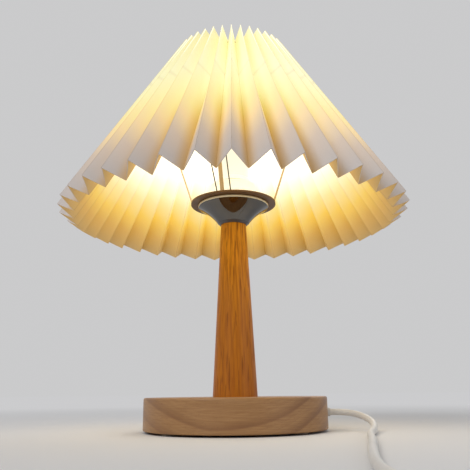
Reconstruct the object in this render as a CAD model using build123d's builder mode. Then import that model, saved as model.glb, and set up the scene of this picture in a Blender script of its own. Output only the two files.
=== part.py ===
"""Pleated table lamp: a round wooden base, a tapered wooden stem, a chrome cup that hides an E27
lampholder, a shade carrier of strips and wire, and a pleated conical shade.

Millimetres, +Z up, origin on the table under the middle of the base. The front of the lamp is -Y.
"""
import os
from math import cos, hypot, pi, radians, sin, sqrt, tan

from build123d import *

os.makedirs("parts", exist_ok=True)

# Fits
fit_gap = 0.1  # fixed pieces that slip together
thread_gap = 0.05  # threads and pivots, drawn as plain cylinders
run_gap = 0.3  # pieces that move past each other
seat_gap = 0.1  # under a piece that turns or lifts off a flat seat

# Cross recess in the head of each screw
drive_share = 1.2  # length of its bars over the head's radius
drive_width = 0.8
drive_depth = 0.7

# Wooden base with its underside recess
base_radius = 74.0
base_height = 25.0
base_top_round = 1.5
base_foot_round = 1.0
cover_margin = 17.0  # wood left round the cover
cover_ledge = 11.0  # wood that the cover bears on
recess_depth = 18.0
cover_thickness = 2.0
cover_screw_count = 3
cover_screw_radius = 1.5
cover_screw_head_radius = 3.0
cover_screw_length = 11.0
pad_count = 4
pad_radius = 7.0
pad_height = 1.5

# Stem and the threaded rod that draws it together
stem_height = 145.7
stem_foot_radius = 18.4
stem_top_radius = 11.0
rod_radius = 5.0
rod_bore_radius = 4.0
rod_tail = 1.0
washer_radius = 11.0
washer_thickness = 1.5
nut_across_flats = 14.0
foot_nut_height = 5.0
cup_nut_height = 3.0

# Chrome cup under the shade carrier
collar_foot_radius = 11.7
collar_height = 2.0
cup_foot_radius = 14.0
cup_rim_radius = 30.9
cup_height = 14.2
cup_wall = 1.0
cup_hollow = 1.3  # rise of the flare's curve over a straight cone
rim_radius = 31.2
rim_width = 2.6
rim_height = 2.4
rim_round = 1.1

# Lampholder
holder_radius = 20.0
holder_wall = 2.8
holder_foot_radius = 13.0
holder_neck_height = 2.7
holder_shoulder_height = 4.6
holder_base_height = 6.5
holder_body_height = 24.0
holder_lip_height = 1.5
insert_height = 4.0
insert_ledge = 1.7
terminal_head_height = 1.5
terminal_head_radius = 2.2
terminal_screw_radius = 1.2
terminal_screw_length = 3.0
terminal_spread = 9.0
terminal_room = 1.8
shell_bore_radius = 13.5
shell_wall = 0.5
shell_height = 20.0
shell_hole_radius = 7.0
contact_radius = 4.0
contact_height = 1.0
holder_ring_radius = 25.0
holder_ring_height = 6.0
holder_ring_notches = 24
notch_radius = 1.2

# Opal bulb with an E27 cap
tip_radius = 4.5
tip_height = 1.5
insulator_foot_radius = 5.5
insulator_top_radius = 11.5
insulator_height = 3.8
cap_radius = 13.1
cap_wall = 0.4
cap_height = 18.5
bulb_collar_radius = 14.8
bulb_collar_bore = 6.0
bulb_collar_height = 3.0
bulb_neck_radius = 14.0
bulb_neck_height = 3.0
bulb_radius = 30.0
bulb_length = 106.0
glass_wall = 0.8
mast_radius = 3.5
mast_height = 36.0
mast_flange_radius = 9.0
mast_flange_height = 1.5
light_head_radius = 8.0
light_head_height = 14.0

# Shade carrier: plate, flat legs, two thin stays and a wire ring
plate_radius = 37.5
plate_thickness = 1.5
leg_names = ("front", "right", "back", "left")
leg_turn = -14.0  # degrees from the front towards +X
leg_width = 3.3
leg_thickness = 0.8
ring_rise = 87.3
ring_wire_radius = 1.5
stay_wire_radius = 0.5
stay_feet = (-21.5, -3.2)  # degrees from the front
stay_heads = (-28.0, -11.0)

# Pleated shade, radii measured over the outer folds
pleat_count = 39
pleat_depth = 13.4  # level distance between the folds' ends
pleat_rows = 6  # flat facets along each twisted flank
shade_foot_radius = 150.0
shade_top_radius = 50.4
shade_height = 161.2
shade_drop = 12.0
shade_foot_wall = 1.1  # along the radius, where the pleats are open
shade_top_wall = 2.0  # along the radius, where the pleats are closed up
draw_thread_radius = 0.45
draw_thread_hole = 0.75
draw_thread_inset = 4.0  # down the slant from the upper edge
draw_thread_offset = 1.5  # out from the inner folds

# Mains lead inside the base
cord_radius = 2.5
cord_height = 14.0
bush_inner_radius = 4.8
bush_outer_radius = 3.2
bush_inside = 3.0
bush_outside = 2.5
lead_past_clamp = 5.0  # jacket left on the clamp's inner side
clamp_to_bush = 6.0
clamp_length = 8.0
clamp_width = 18.0
clamp_floor = 3.0
clamp_screw_spread = 6.0
clamp_screw_radius = 1.4
clamp_screw_head_radius = 2.6
clamp_screw_head_height = 2.0
clamp_screw_bite = 4.0
wire_radius = 1.0
wire_spread = 1.4
wire_dip = 7.2

# In-line switch
switch_centre = (140.0, -350.0)
switch_length = 56.0
switch_width = 24.0
switch_height = 16.0
switch_wall = 1.6
switch_corner = 7.0
switch_edge_round = 1.2
switch_grip = 6.0
switch_screws = ((-17.0, 7.0), (17.0, -7.0))
boss_radius = 2.6
switch_screw_radius = 1.0
switch_screw_head_radius = 1.9
switch_screw_head_height = 1.4
rocker_radius = 10.0
rocker_width = 11.0
rocker_pivot_drop = 4.0
rocker_middle = 3.6
rocker_ends = 5.2
rocker_depth = 2.0
rocker_tilt = 8.0
rocker_pin_radius = 1.2
cheek_length = 8.0
cheek_thickness = 2.0
switch_contact = (12.0, 5.0, 0.8)  # length, width, thickness
switch_contact_spread = 12.0
switch_contact_rise = 4.0

# Two-pin plug
plug_face_width = 35.3
plug_tail_width = 14.0
plug_length = 35.0
plug_shoulder = 16.0
plug_thickness = 13.7
plug_edge_round = 2.5
pin_radius = 2.0
pin_waist_radius = 1.5
pin_length = 19.0
pin_root = 8.0
pin_spread = 9.3
sleeve_radius = 1.9
sleeve_length = 10.0
boot_length = 25.0
boot_foot_radius = 4.8
boot_tip_radius = 3.3

# Spare lead, wound into a tied coil
coil_turns = 6
coil_radius = 38.2
coil_pitch = 5.5
coil_layer_rise = 5.5
coil_climb_turns = 0.5
coil_centre = (162.8, -288.0)
plug_reach = 100.0  # from the coil to the plug's boot
bush_run = 10.5  # straight lead out of the bush
switch_run = 9.0  # straight lead on both sides of the switch
coil_run = 10.0  # straight lead into the coil
boot_run = 10.0  # straight lead into the plug's boot
tie_thickness = 1.0
tie_width = 8.0
tie_gap = 0.2
tie_bend_room = 0.6

# Heights that follow, from the table upwards
base_foot = pad_height
base_top = base_foot + base_height
roof = base_foot + recess_depth
stem_top = base_top + stem_height
cup_foot = stem_top + collar_height
cup_floor = cup_foot + cup_wall
cup_rim = cup_foot + cup_height
plate_foot = cup_rim + rim_height + seat_gap
plate_top = plate_foot + plate_thickness
holder_foot = cup_floor + cup_nut_height
holder_cavity = holder_foot + holder_neck_height
insert_foot = holder_cavity + terminal_room
insert_top = insert_foot + insert_height
holder_split = holder_foot + holder_base_height
holder_top = holder_split + holder_body_height
rod_foot = roof - washer_thickness - foot_nut_height - rod_tail
tip_foot = insert_top + contact_height + 2 * seat_gap
insulator_foot = tip_foot + tip_height + seat_gap
cap_foot = insulator_foot + insulator_height
bulb_collar_foot = cap_foot + cap_height
glass_foot = bulb_collar_foot + bulb_collar_height
bulb_crown = tip_foot + bulb_length
ring_height = plate_top + ring_rise
shade_foot = plate_top - shade_drop
shade_top = shade_foot + shade_height
flare = (shade_foot_radius - shade_top_radius) / shade_height
holder_bore = holder_radius - holder_wall
cover_radius = base_radius - cover_margin
recess_radius = cover_radius - cover_ledge
pad_ring = (cover_radius + base_radius) / 2
cover_screw_ring = (recess_radius + cover_radius) / 2
bush_end = base_radius + bush_outside
bush_start = recess_radius - bush_inside
clamp_from_axis = bush_start - clamp_to_bush - clamp_length / 2
lead_strip = clamp_from_axis - clamp_length / 2 - lead_past_clamp


def save(name, piece):
    """Label a finished piece and write it."""
    piece.part.label = name
    export_step(piece.part, f"parts/{name}.step")


def outward(angle):
    """Level unit direction at an angle in degrees from the front, turning towards +X."""
    return Vector(sin(radians(angle)), -cos(radians(angle)), 0)


def ring_piece(inner, outer, low, high):
    """Square-edged ring, or a disc where inner is zero, about the vertical axis."""
    with BuildPart() as ring:
        with BuildSketch(Plane.XY.offset(low)):
            Circle(outer)
            if inner:
                Circle(inner, mode=Mode.SUBTRACT)
        extrude(amount=high - low)
    return ring


def turned_piece(*outline):
    """Solid of revolution about the vertical axis from a closed outline of (radius, height)."""
    with BuildPart() as turned:
        with BuildSketch(Plane.XZ):
            with BuildLine():
                Polyline(*outline, close=True)
            make_face()
        revolve(axis=Axis.Z)
    return turned


def hex_nut(low, high):
    """Hexagon nut on the threaded rod."""
    with BuildPart() as nut:
        with BuildSketch(Plane.XY.offset(low)):
            RegularPolygon(nut_across_flats / 2, 6, major_radius=False)
            Circle(rod_radius + thread_gap, mode=Mode.SUBTRACT)
        extrude(amount=high - low)
    return nut


def cross_bars(head_radius):
    """Two crossed bars of a screw's drive, drawn into the open sketch."""
    Rectangle(drive_share * head_radius, drive_width)
    Rectangle(drive_width, drive_share * head_radius)


def along_x(height):
    """Upright plane through the lead's centreline inside the base, x along the lead."""
    return Plane((0, 0, height), x_dir=(1, 0, 0), z_dir=(0, -1, 0))


def bend_radii(route):
    """Largest tangent arcs that fit the corners of a lead's route."""
    radii = []
    for before, corner, after in zip(route, route[1:], route[2:]):
        run_in = Vector(*corner) - Vector(*before)
        run_out = Vector(*after) - Vector(*corner)
        half_turn = radians(run_in.get_angle(run_out)) / 2
        radii.append(0.45 * min(run_in.length, run_out.length) / tan(half_turn))
    return radii


def lead_piece(route, radius, radii):
    """Round tube along straight runs joined by tangent arcs."""
    with BuildPart() as lead:
        with BuildLine() as path:
            FilletPolyline(*route, radius=radii)
        with BuildSketch(Plane(route[0], z_dir=Vector(*route[1]) - Vector(*route[0]))):
            Circle(radius)
        sweep()
    length = path.wire().length
    print(f"  route {length:.1f} mm, volume against section {lead.part.volume / length / pi / radius**2:.5f}")
    return lead, length


# Base: the wooden block
bush_slope = (bush_inner_radius - bush_outer_radius) / (bush_end - bush_start)
with BuildPart() as base_block:
    with BuildSketch(Plane.XY.offset(base_foot)):
        Circle(base_radius)
    extrude(amount=base_height)
    fillet(base_block.edges().group_by(Axis.Z)[-1], radius=base_top_round)
    fillet(base_block.edges().group_by(Axis.Z)[0], radius=base_foot_round)
    with BuildSketch(Plane.XY.offset(base_foot)):
        Circle(recess_radius)
    extrude(amount=recess_depth, mode=Mode.SUBTRACT)
    with BuildSketch(Plane.XY.offset(base_foot)):
        Circle(cover_radius)
    extrude(amount=cover_thickness, mode=Mode.SUBTRACT)
    with BuildSketch(Plane.XY.offset(roof)):
        Circle(rod_radius + fit_gap)
    extrude(amount=base_top - roof, mode=Mode.SUBTRACT)
    with BuildSketch(Plane.XY.offset(base_foot)):
        with PolarLocations(cover_screw_ring, cover_screw_count, start_angle=90):
            Circle(cover_screw_radius + fit_gap)
    extrude(amount=cover_screw_length + fit_gap, mode=Mode.SUBTRACT)
    with BuildSketch(Plane.XY.offset(roof)):
        with Locations((clamp_from_axis, clamp_screw_spread), (clamp_from_axis, -clamp_screw_spread)):
            Circle(clamp_screw_radius + fit_gap)
    extrude(amount=clamp_screw_bite + fit_gap, mode=Mode.SUBTRACT)
    with BuildSketch(along_x(cord_height)):
        with BuildLine():
            Polyline(
                (bush_start, 0),
                (bush_start, bush_inner_radius + fit_gap),
                (bush_end, bush_outer_radius + fit_gap),
                (bush_end, 0),
                close=True,
            )
        make_face()
    revolve(axis=Axis((0, 0, cord_height), (1, 0, 0)), mode=Mode.SUBTRACT)
save("base_block", base_block)

# Base: the cover plate under the recess, its screws and the pads
cover_skin = cover_screw_head_radius - cover_screw_radius
with BuildPart() as base_cover:
    with BuildSketch(Plane.XY.offset(base_foot)):
        Circle(cover_radius - fit_gap)
    extrude(amount=cover_thickness - fit_gap)
    with Locations(Plane(origin=(0, 0, base_foot), x_dir=(1, 0, 0), z_dir=(0, 0, -1))):
        with PolarLocations(cover_screw_ring, cover_screw_count, start_angle=-90):
            CounterSinkHole(cover_screw_radius + fit_gap, cover_screw_head_radius + fit_gap)
save("base_cover", base_cover)

with BuildPart() as cover_screws:
    with BuildSketch(Plane.XZ) as screw_half:
        with BuildLine():
            Polyline(
                (0, base_foot),
                (cover_screw_head_radius - fit_gap, base_foot),
                (cover_screw_radius, base_foot + cover_skin),
                (cover_screw_radius, base_foot + cover_screw_length),
                (0, base_foot + cover_screw_length),
                close=True,
            )
        make_face()
    cover_screw = revolve(axis=Axis.Z, mode=Mode.PRIVATE)
    with PolarLocations(cover_screw_ring, cover_screw_count, start_angle=90):
        add(cover_screw)
    with BuildSketch(Plane.XY.offset(base_foot)):
        with PolarLocations(cover_screw_ring, cover_screw_count, start_angle=90):
            cross_bars(cover_screw_head_radius)
    extrude(amount=drive_depth, mode=Mode.SUBTRACT)
save("cover_screws", cover_screws)

with BuildPart() as foot_pads:
    with BuildSketch(Plane.XY):
        with PolarLocations(pad_ring, pad_count, start_angle=45):
            Circle(pad_radius)
    extrude(amount=pad_height)
save("foot_pads", foot_pads)

# Stem, rod and the nuts that clamp base, stem and cup together
stem = turned_piece(
    (rod_radius + fit_gap, base_top),
    (stem_foot_radius, base_top),
    (stem_top_radius, stem_top),
    (rod_radius + fit_gap, stem_top),
)
save("stem", stem)

threaded_rod = ring_piece(rod_bore_radius, rod_radius, rod_foot, holder_cavity)
save("threaded_rod", threaded_rod)

foot_washer = ring_piece(rod_radius + fit_gap, washer_radius, roof - washer_thickness, roof)
save("foot_washer", foot_washer)

foot_nut = hex_nut(roof - washer_thickness - foot_nut_height, roof - washer_thickness)
save("foot_nut", foot_nut)

stem_collar = turned_piece(
    (rod_radius + fit_gap, stem_top),
    (collar_foot_radius, stem_top),
    (cup_foot_radius, cup_foot),
    (rod_radius + fit_gap, cup_foot),
)
save("stem_collar", stem_collar)

# Cup: a spun flare with a flat foot, and the bright ring on its rim
cup_bore = rod_radius + fit_gap
cup_flare = (cup_rim_radius - cup_foot_radius) / cup_height
cup_wall_level = cup_wall * hypot(1, cup_flare)
cup_floor_radius = cup_foot_radius + cup_wall * cup_flare - cup_wall_level
cup_lip_radius = cup_rim_radius - cup_wall_level
with BuildPart() as cup:
    with BuildSketch(Plane.XZ):
        with BuildLine():
            Line((cup_bore, cup_foot), (cup_foot_radius, cup_foot))
            SagittaArc((cup_foot_radius, cup_foot), (cup_rim_radius, cup_rim), cup_hollow)
            Line((cup_rim_radius, cup_rim), (cup_lip_radius, cup_rim))
            SagittaArc((cup_lip_radius, cup_rim), (cup_floor_radius, cup_floor), -cup_hollow)
            Line((cup_floor_radius, cup_floor), (cup_bore, cup_floor))
            Line((cup_bore, cup_floor), (cup_bore, cup_foot))
        make_face()
    revolve(axis=Axis.Z)
save("cup", cup)

square_rim = ring_piece(rim_radius - rim_width, rim_radius, cup_rim, cup_rim + rim_height)
with BuildPart() as rim_ring:
    add(square_rim.part)
    fillet(rim_ring.edges().filter_by(GeomType.CIRCLE).group_by(SortBy.RADIUS)[-1], radius=rim_round)
save("rim_ring", rim_ring)

cup_nut = hex_nut(cup_floor, holder_foot)
save("cup_nut", cup_nut)

# Lampholder: lower cap, threaded body, contact block, screw shell, centre contact and terminals
insert_radius = holder_bore - fit_gap
holder_base = turned_piece(
    (rod_radius + thread_gap, holder_foot),
    (holder_foot_radius, holder_foot),
    (holder_radius, holder_foot + holder_shoulder_height),
    (holder_radius, holder_split),
    (holder_bore, holder_split),
    (holder_bore, insert_foot),
    (holder_bore - insert_ledge, insert_foot),
    (holder_bore - insert_ledge, holder_cavity),
    (rod_radius + thread_gap, holder_cavity),
)
save("holder_base", holder_base)

shell_radius = shell_bore_radius + shell_wall
holder_body = turned_piece(
    (holder_bore, holder_split),
    (holder_radius, holder_split),
    (holder_radius, holder_top),
    (shell_radius + run_gap, holder_top),
    (shell_radius + run_gap, holder_top - holder_lip_height),
    (holder_bore, holder_top - holder_lip_height),
)
save("holder_body", holder_body)

with BuildPart() as contact_block:
    with BuildSketch(Plane.XY.offset(insert_foot)):
        Circle(insert_radius)
    extrude(amount=insert_height)
    with BuildSketch(Plane.XY.offset(insert_foot)):
        with Locations((terminal_spread, 0), (-terminal_spread, 0)):
            Circle(terminal_screw_radius + thread_gap)
    extrude(amount=terminal_screw_length + fit_gap, mode=Mode.SUBTRACT)
save("contact_block", contact_block)

with BuildPart() as terminal_screws:
    with BuildSketch(Plane.XY.offset(insert_foot)):
        with Locations((terminal_spread, 0), (-terminal_spread, 0)):
            Circle(terminal_screw_radius)
    extrude(amount=terminal_screw_length)
    with BuildSketch(Plane.XY.offset(insert_foot - terminal_head_height)):
        with Locations((terminal_spread, 0), (-terminal_spread, 0)):
            Circle(terminal_head_radius)
    extrude(amount=terminal_head_height)
    with BuildSketch(Plane.XY.offset(insert_foot - terminal_head_height)):
        with Locations((terminal_spread, 0), (-terminal_spread, 0)):
            cross_bars(terminal_head_radius)
    extrude(amount=drive_depth, mode=Mode.SUBTRACT)
save("terminal_screws", terminal_screws)

screw_shell = turned_piece(
    (shell_hole_radius, insert_top),
    (shell_radius, insert_top),
    (shell_radius, insert_top + shell_height),
    (shell_bore_radius, insert_top + shell_height),
    (shell_bore_radius, insert_top + shell_wall),
    (shell_hole_radius, insert_top + shell_wall),
)
save("screw_shell", screw_shell)

centre_contact = ring_piece(0, contact_radius, insert_top, insert_top + contact_height)
save("centre_contact", centre_contact)

with BuildPart() as holder_ring:
    with BuildSketch(Plane.XY.offset(plate_top + seat_gap)):
        Circle(holder_ring_radius)
        Circle(holder_radius + thread_gap, mode=Mode.SUBTRACT)
        with PolarLocations(holder_ring_radius, holder_ring_notches):
            Circle(notch_radius, mode=Mode.SUBTRACT)
    extrude(amount=holder_ring_height)
save("holder_ring", holder_ring)

# Bulb: contact tip, glass insulator, screw cap, collar, light source and opal globe
with BuildPart() as bulb_tip:
    with BuildSketch(Plane.XY.offset(tip_foot)):
        Circle(tip_radius)
    extrude(amount=tip_height)
    fillet(bulb_tip.edges().group_by(Axis.Z)[0], radius=tip_height / 2)
save("bulb_tip", bulb_tip)

bulb_insulator = turned_piece(
    (0, insulator_foot),
    (insulator_foot_radius, insulator_foot),
    (insulator_top_radius, cap_foot),
    (0, cap_foot),
)
save("bulb_insulator", bulb_insulator)

bulb_cap = turned_piece(
    (insulator_top_radius - insulator_height / 2, cap_foot),
    (insulator_top_radius, cap_foot),
    (cap_radius, cap_foot + cap_radius - insulator_top_radius),
    (cap_radius, bulb_collar_foot),
    (cap_radius - cap_wall, bulb_collar_foot),
    (cap_radius - cap_wall, cap_foot + cap_radius - insulator_top_radius + cap_wall),
    (insulator_top_radius - insulator_height / 2, cap_foot + cap_wall),
)
save("bulb_cap", bulb_cap)

bulb_collar = ring_piece(bulb_collar_bore, bulb_collar_radius, bulb_collar_foot, glass_foot)
save("bulb_collar", bulb_collar)

with BuildPart() as light_source:
    with BuildSketch(Plane.XY.offset(glass_foot)):
        Circle(mast_flange_radius)
    extrude(amount=mast_flange_height)
    with BuildSketch(Plane.XY.offset(glass_foot)):
        Circle(mast_radius)
    extrude(amount=mast_height)
    with BuildSketch(Plane.XY.offset(glass_foot + mast_height)):
        RegularPolygon(light_head_radius, 6)
    extrude(amount=light_head_height)
save("light_source", light_source)


def globe_solid(inset):
    """Globe with its drawn-in neck: a sphere met by a hollow curve that runs down to the neck."""
    sphere = bulb_radius - inset
    neck = bulb_neck_radius - inset
    middle = bulb_crown - bulb_radius
    neck_top = glass_foot + bulb_neck_height
    rise = middle - neck_top
    hollow = (neck**2 + rise**2 - sphere**2) / (2 * (sphere - neck))
    across = (neck + hollow) / (sphere + hollow)
    down = rise / (sphere + hollow)
    meet = (sphere * across, middle - sphere * down)
    with BuildPart() as globe:
        with BuildSketch(Plane.XZ):
            with BuildLine():
                Line((0, glass_foot), (neck, glass_foot))
                Line((neck, glass_foot), (neck, neck_top))
                TangentArc((neck, neck_top), meet, tangent=(0, 1))
                ThreePointArc(meet, (sphere, middle), (0, middle + sphere))
                Line((0, middle + sphere), (0, glass_foot))
            make_face()
        revolve(axis=Axis.Z)
    return globe


glass_outside = globe_solid(0)
glass_inside = globe_solid(glass_wall)
with BuildPart() as bulb_globe:
    add(glass_outside.part)
    add(glass_inside.part, mode=Mode.SUBTRACT)
save("bulb_globe", bulb_globe)


# Pleated shade: folded strip with its edges square to the slant, every fold a straight crease
def crease_point(half_pleat, share, inside):
    """Point a share of the way up a crease: even creases are outer folds, odd ones inner folds."""
    depth = pleat_depth if half_pleat % 2 else 0
    if inside:
        depth += shade_foot_wall + (shade_top_wall - shade_foot_wall) * share
    radius = shade_foot_radius + (shade_top_radius - shade_foot_radius) * share - depth
    side = outward(180 * half_pleat / pleat_count)
    return side * radius + Vector(0, 0, shade_foot + shade_height * share - depth * flare)


def inner_fold_radius(height, inside):
    """Radius of an inner fold's crease at a height, on the outside or the inside of the wall."""
    foot = crease_point(1, 0, inside)
    top = crease_point(1, 1, inside)
    share = (height - foot.Z) / (top.Z - foot.Z)
    return hypot(foot.X, foot.Y) * (1 - share) + hypot(top.X, top.Y) * share


def flat_pair(start_near, start_far, end_near, end_far):
    """Two flat triangles between two edges, bent along the diagonal from start_near to end_far."""
    return [
        Face(Wire.make_polygon([start_near, start_far, end_far])),
        Face(Wire.make_polygon([start_near, end_far, end_near])),
    ]


pleat_faces = []
for half_pleat in range(2 * pleat_count):
    outer = half_pleat + half_pleat % 2
    inner = half_pleat + 1 - half_pleat % 2
    for inside in (False, True):
        for row in range(pleat_rows):
            foot_edge = [crease_point(fold, row / pleat_rows, inside) for fold in (outer, inner)]
            top_edge = [crease_point(fold, (row + 1) / pleat_rows, inside) for fold in (outer, inner)]
            pleat_faces += flat_pair(*foot_edge, *top_edge)
    for share in (0, 1):
        outside_edge = [crease_point(fold, share, False) for fold in (outer, inner)]
        inside_edge = [crease_point(fold, share, True) for fold in (outer, inner)]
        pleat_faces += flat_pair(*outside_edge, *inside_edge)
folded_strip = Solid(Shell(pleat_faces))

thread_height = shade_top - pleat_depth * flare - draw_thread_inset / hypot(1, flare)
thread_ring = inner_fold_radius(thread_height, False) + draw_thread_offset
with BuildPart() as pleated_shade:
    add(folded_strip)
    with Locations((0, 0, thread_height)):
        Torus(thread_ring, draw_thread_hole, mode=Mode.SUBTRACT)
save("pleated_shade", pleated_shade)

with BuildPart() as draw_thread:
    with Locations((0, 0, thread_height)):
        Torus(thread_ring, draw_thread_radius)
save("draw_thread", draw_thread)

# Shade carrier: the wire ring bears on the inner folds of the shade
ring_clearance = (ring_wire_radius + run_gap) * hypot(1, flare)
ring_radius = inner_fold_radius(ring_height, True) - ring_clearance
ring_foot = ring_height - ring_wire_radius
with BuildPart() as carrier_ring:
    with Locations((0, 0, ring_height)):
        Torus(ring_radius, ring_wire_radius)
save("carrier_ring", carrier_ring)

carrier_plate = ring_piece(holder_radius + run_gap, plate_radius, plate_foot, plate_top)
save("carrier_plate", carrier_plate)

leg_foot_radius = plate_radius - leg_thickness / 2
for number, leg_name in enumerate(leg_names):
    side = outward(leg_turn + 360 * number / len(leg_names))
    reach = side * (ring_radius - leg_foot_radius) + Vector(0, 0, ring_foot - plate_top)
    with BuildPart() as carrier_leg:
        with BuildSketch(Plane(side * leg_foot_radius + Vector(0, 0, plate_top), x_dir=side)):
            Rectangle(leg_thickness, leg_width)
        extrude(amount=reach.length, dir=reach)
    save(f"carrier_leg_{leg_name}", carrier_leg)

with BuildPart() as stay_wires:
    for foot_angle, head_angle in zip(stay_feet, stay_heads):
        wire_foot = outward(foot_angle) * (plate_radius - leg_thickness) + Vector(0, 0, plate_top)
        wire_head = outward(head_angle) * ring_radius + Vector(0, 0, ring_foot)
        with BuildSketch(Plane(wire_foot)) as wire_section:
            Circle(stay_wire_radius)
        extrude(wire_section.sketch, amount=(wire_head - wire_foot).length, dir=wire_head - wire_foot)
save("stay_wires", stay_wires)

# Lead inside the base: tapered bush, jacket, clamp and the two cores up the rod
with BuildPart() as cord_bush:
    with BuildSketch(along_x(cord_height)):
        with BuildLine():
            Polyline(
                (bush_start, cord_radius + thread_gap),
                (bush_start, bush_inner_radius),
                (bush_end, bush_outer_radius),
                (bush_end, cord_radius + thread_gap),
                close=True,
            )
        make_face()
    revolve(axis=Axis((0, 0, cord_height), (1, 0, 0)))
save("cord_bush", cord_bush)

with BuildPart() as inner_lead:
    with BuildSketch(Plane.YZ.offset(lead_strip)):
        with Locations((0, cord_height)):
            Circle(cord_radius)
    extrude(amount=bush_end - lead_strip)
save("inner_lead", inner_lead)

clamp_foot = cord_height - cord_radius - clamp_floor
clamp_screws_at = ((clamp_from_axis, clamp_screw_spread), (clamp_from_axis, -clamp_screw_spread))
with BuildPart() as cord_clamp:
    with BuildSketch(Plane.XY.offset(clamp_foot)):
        with Locations((clamp_from_axis, 0)):
            RectangleRounded(clamp_length, clamp_width, clamp_length / 3)
        with Locations(*clamp_screws_at):
            Circle(clamp_screw_radius + fit_gap, mode=Mode.SUBTRACT)
    extrude(amount=roof - clamp_foot)
    with BuildSketch(Plane.YZ.offset(clamp_from_axis - clamp_length)):
        with Locations((0, cord_height)):
            Circle(cord_radius + thread_gap)
    extrude(amount=2 * clamp_length, mode=Mode.SUBTRACT)
save("cord_clamp", cord_clamp)

with BuildPart() as clamp_screws:
    with BuildSketch(Plane.XY.offset(clamp_foot - clamp_screw_head_height)):
        with Locations(*clamp_screws_at):
            Circle(clamp_screw_head_radius)
    extrude(amount=clamp_screw_head_height)
    with BuildSketch(Plane.XY.offset(clamp_foot)):
        with Locations(*clamp_screws_at):
            Circle(clamp_screw_radius)
    extrude(amount=roof + clamp_screw_bite - clamp_foot)
    with BuildSketch(Plane.XY.offset(clamp_foot - clamp_screw_head_height)):
        with Locations(*clamp_screws_at):
            cross_bars(clamp_screw_head_radius)
    extrude(amount=drive_depth, mode=Mode.SUBTRACT)
save("clamp_screws", clamp_screws)

wire_floor = cord_height - wire_dip
for core_name, core_side in (("live_core", wire_spread), ("neutral_core", -wire_spread)):
    core_route = (
        (lead_strip, core_side, cord_height),
        (2 * lead_strip / 3, core_side, cord_height),
        (lead_strip / 3, core_side, wire_floor),
        (0, core_side, wire_floor),
        (0, core_side, insert_foot),
    )
    core, core_length = lead_piece(core_route, wire_radius, [3 * wire_radius] * 3)
    save(core_name, core)

# Free lead: out of the bush, down to the table, round to the front and on to the switch
switch_x, switch_y = switch_centre
switch_mid = switch_height / 2
switch_in = switch_x - switch_length / 2
switch_out = switch_x + switch_length / 2
table = cord_radius
lead_route = (
    (bush_end, 0, cord_height),
    (bush_end + bush_run, 0, cord_height),
    (96.4, -4.3, 12.7),
    (103.0, -12.2, 10.0),
    (105.8, -22.2, 6.9),
    (104.6, -33.2, 4.4),
    (101.0, -46.0, 2.8),
    (96.2, -62.0, table),
    (90.2, -82.0, table),
    (85.0, -108.0, table),
    (79.4, -137.0, table),
    (72.6, -166.0, table),
    (66.4, -194.0, table),
    (60.6, -222.0, table),
    (55.4, -249.0, table),
    (52.2, -275.0, table),
    (53.0, -300.0, table),
    (59.6, -322.0, table),
    (73.0, -339.5, 2.8),
    (91.0, -348.4, 5.0),
    (switch_in - switch_run, switch_y, switch_mid),
    (switch_in + switch_grip, switch_y, switch_mid),
)
lead_radii = bend_radii(lead_route)
print("lead bends", [round(radius, 1) for radius in lead_radii])
cord_lead, lead_length = lead_piece(lead_route, cord_radius, lead_radii)
save("cord_lead", cord_lead)

# Coil: spirals in on the lower layer, climbs, and spirals out on the upper one
coil_x, coil_y = coil_centre
coil_low = tie_thickness + tie_gap + cord_radius
coil_high = coil_low + coil_layer_rise
coil_straight = 2 * cord_radius


def coil_point(turns):
    """Centre of the lead after so many turns of the coil."""
    from_reversal = abs(turns - coil_turns / 2)
    radius = coil_radius - coil_pitch * (coil_turns / 2 - from_reversal)
    climb = min(max((turns - coil_turns / 2) / coil_climb_turns + 0.5, 0), 1)
    height = coil_low + coil_layer_rise * climb**2 * (3 - 2 * climb)
    angle = 2 * pi * turns
    return Vector(coil_x + radius * cos(angle), coil_y + radius * sin(angle), height)


def coil_heading(turns):
    """Direction of the lead after so many turns, straight along +Y at both ends."""
    if turns in (0, coil_turns):
        return Vector(0, 1, 0)
    step = 0.001
    return (coil_point(turns + step) - coil_point(turns - step)).normalized()


def biarc_middle(start, heading, end, arrival):
    """Point where two tangent arcs meet between a start and an end with given headings."""
    span = end - start
    both = heading + arrival
    spread = 2 * (1 - heading.dot(arrival))
    reach = sqrt(span.dot(both) ** 2 + spread * span.dot(span)) - span.dot(both)
    return (start + end + (heading - arrival) * (reach / spread)) * 0.5


quarter_turns = [quarter / 4 for quarter in range(4 * coil_turns + 1)]
coil_start = coil_point(0) - Vector(0, coil_straight, 0)
coil_end = coil_point(coil_turns) + Vector(0, coil_straight, 0)
with BuildPart() as cord_coil:
    with BuildLine() as coil_path:
        Line(coil_start, coil_point(0))
        for turns, later in zip(quarter_turns, quarter_turns[1:]):
            start = coil_point(turns)
            end = coil_point(later)
            middle = biarc_middle(start, coil_heading(turns), end, coil_heading(later))
            first_arc = TangentArc(start, middle, tangent=coil_heading(turns))
            TangentArc(middle, end, tangent=first_arc % 1)
        Line(coil_point(coil_turns), coil_end)
    with BuildSketch(Plane(coil_start, z_dir=(0, 1, 0))):
        Circle(cord_radius)
    sweep()
save("cord_coil", cord_coil)
coil_length = coil_path.wire().length
coil_fill = cord_coil.part.volume / coil_length / pi / cord_radius**2
steps_per_turn = 60
coil_marks = [coil_point(mark / steps_per_turn) for mark in range(coil_turns * steps_per_turn + 1)]
coil_gap = min(
    (coil_marks[late] - coil_marks[early]).length
    for early in range(len(coil_marks))
    for late in range(early + steps_per_turn // 2, len(coil_marks))
) - 2 * cord_radius
print(f"coil {coil_length:.1f} mm, volume against section {coil_fill:.5f}, least gap {coil_gap:.2f} mm")

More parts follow.
